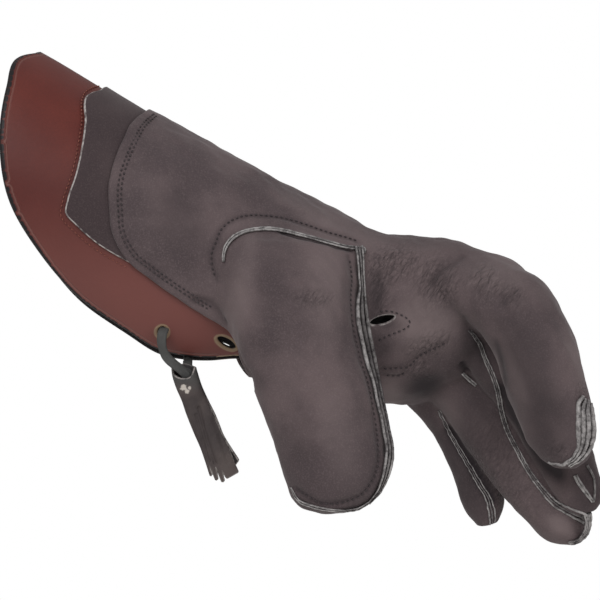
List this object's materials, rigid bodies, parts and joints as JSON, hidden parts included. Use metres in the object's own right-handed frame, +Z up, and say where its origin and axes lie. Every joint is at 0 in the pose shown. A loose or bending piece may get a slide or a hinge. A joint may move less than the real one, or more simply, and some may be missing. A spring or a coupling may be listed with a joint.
{
  "type": "falconry glove",
  "caption": "Left-hand leather falconry gauntlet with an open flared cuff, suede cuff panel, nubuck hand with raw outside seams, and a thong with a cut leather tassel",
  "frame": {"origin": "middle of the wrist, inside the hollow hand", "axes": "+X to the fingertips' side, +Y away from the thumb, +Z up"},
  "size_m": [0.2663, 0.1068, 0.2205],
  "materials": {
    "red_leather": "smooth, semi-matt",
    "dark_suede": "napped",
    "nubuck": "fine nap, matt",
    "raw_edge": "raw cut plies",
    "thong_leather": "matt"
  },
  "bodies": {
    "root": {"gauntlet": "red_leather", "suede_panel": "dark_suede", "palm_panel": "nubuck", "back_panel": "nubuck", "thumb": "nubuck", "thumb_seam": "raw_edge", "index_seam": "raw_edge", "middle_seam": "raw_edge", "ring_seam": "raw_edge", "little_seam": "raw_edge", "tassel_thong": "thong_leather", "tassel": "thong_leather"}
  },
  "joints": []
}
